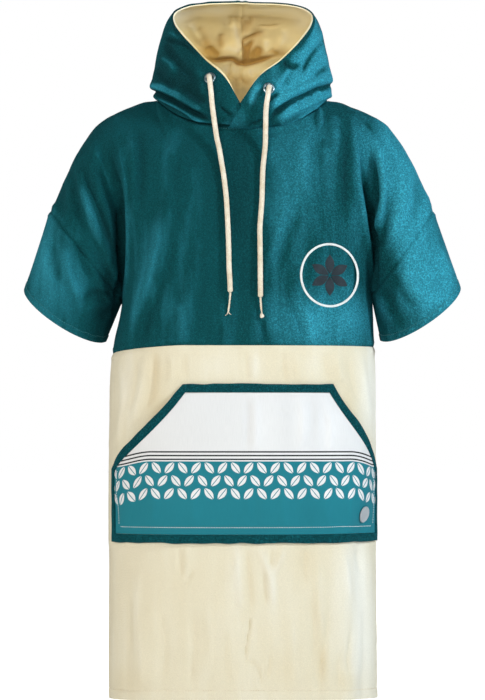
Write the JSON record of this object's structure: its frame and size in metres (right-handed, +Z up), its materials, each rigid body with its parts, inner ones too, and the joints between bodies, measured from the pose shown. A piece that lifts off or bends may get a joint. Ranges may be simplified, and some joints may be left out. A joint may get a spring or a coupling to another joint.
{
  "type": "hooded bath poncho",
  "caption": "Hooded terry bath poncho with short sleeves, lined hood, drawstring and kangaroo pocket, filled out as if worn, with nobody in it.",
  "frame": {"origin": "centre of the neck's base, level with the tops of the shoulders, where a wearer's shoulders hold the garment up", "axes": "+Z up, -Y out of the garment's front, +X to the right of someone looking at the front"},
  "size_m": [0.7493, 0.3465, 1.1981],
  "materials": {
    "teal_terry": "terry with short loops",
    "cream_terry": "terry with short loops",
    "lining_cream": "soft brushed lining",
    "woven_pocket": "smooth printed weave",
    "grey_patch": "satin",
    "eyelet_steel": "satin",
    "drawstring": "round braid"
  },
  "bodies": {
    "root": {"front_upper": "teal_terry", "back_upper": "teal_terry", "front_lower": "cream_terry", "back_lower": "cream_terry", "sleeve_left": "teal_terry", "sleeve_right": "teal_terry", "hood_left": "teal_terry", "hood_right": "teal_terry", "lining_left": "lining_cream", "lining_right": "lining_cream", "pocket_border": "teal_terry", "pocket_panel": "woven_pocket", "pocket_patch": "grey_patch", "eyelet_left": "eyelet_steel", "eyelet_right": "eyelet_steel", "cord_left": "drawstring", "cord_right": "drawstring", "tail_left": "drawstring", "tail_right": "drawstring"}
  },
  "joints": []
}
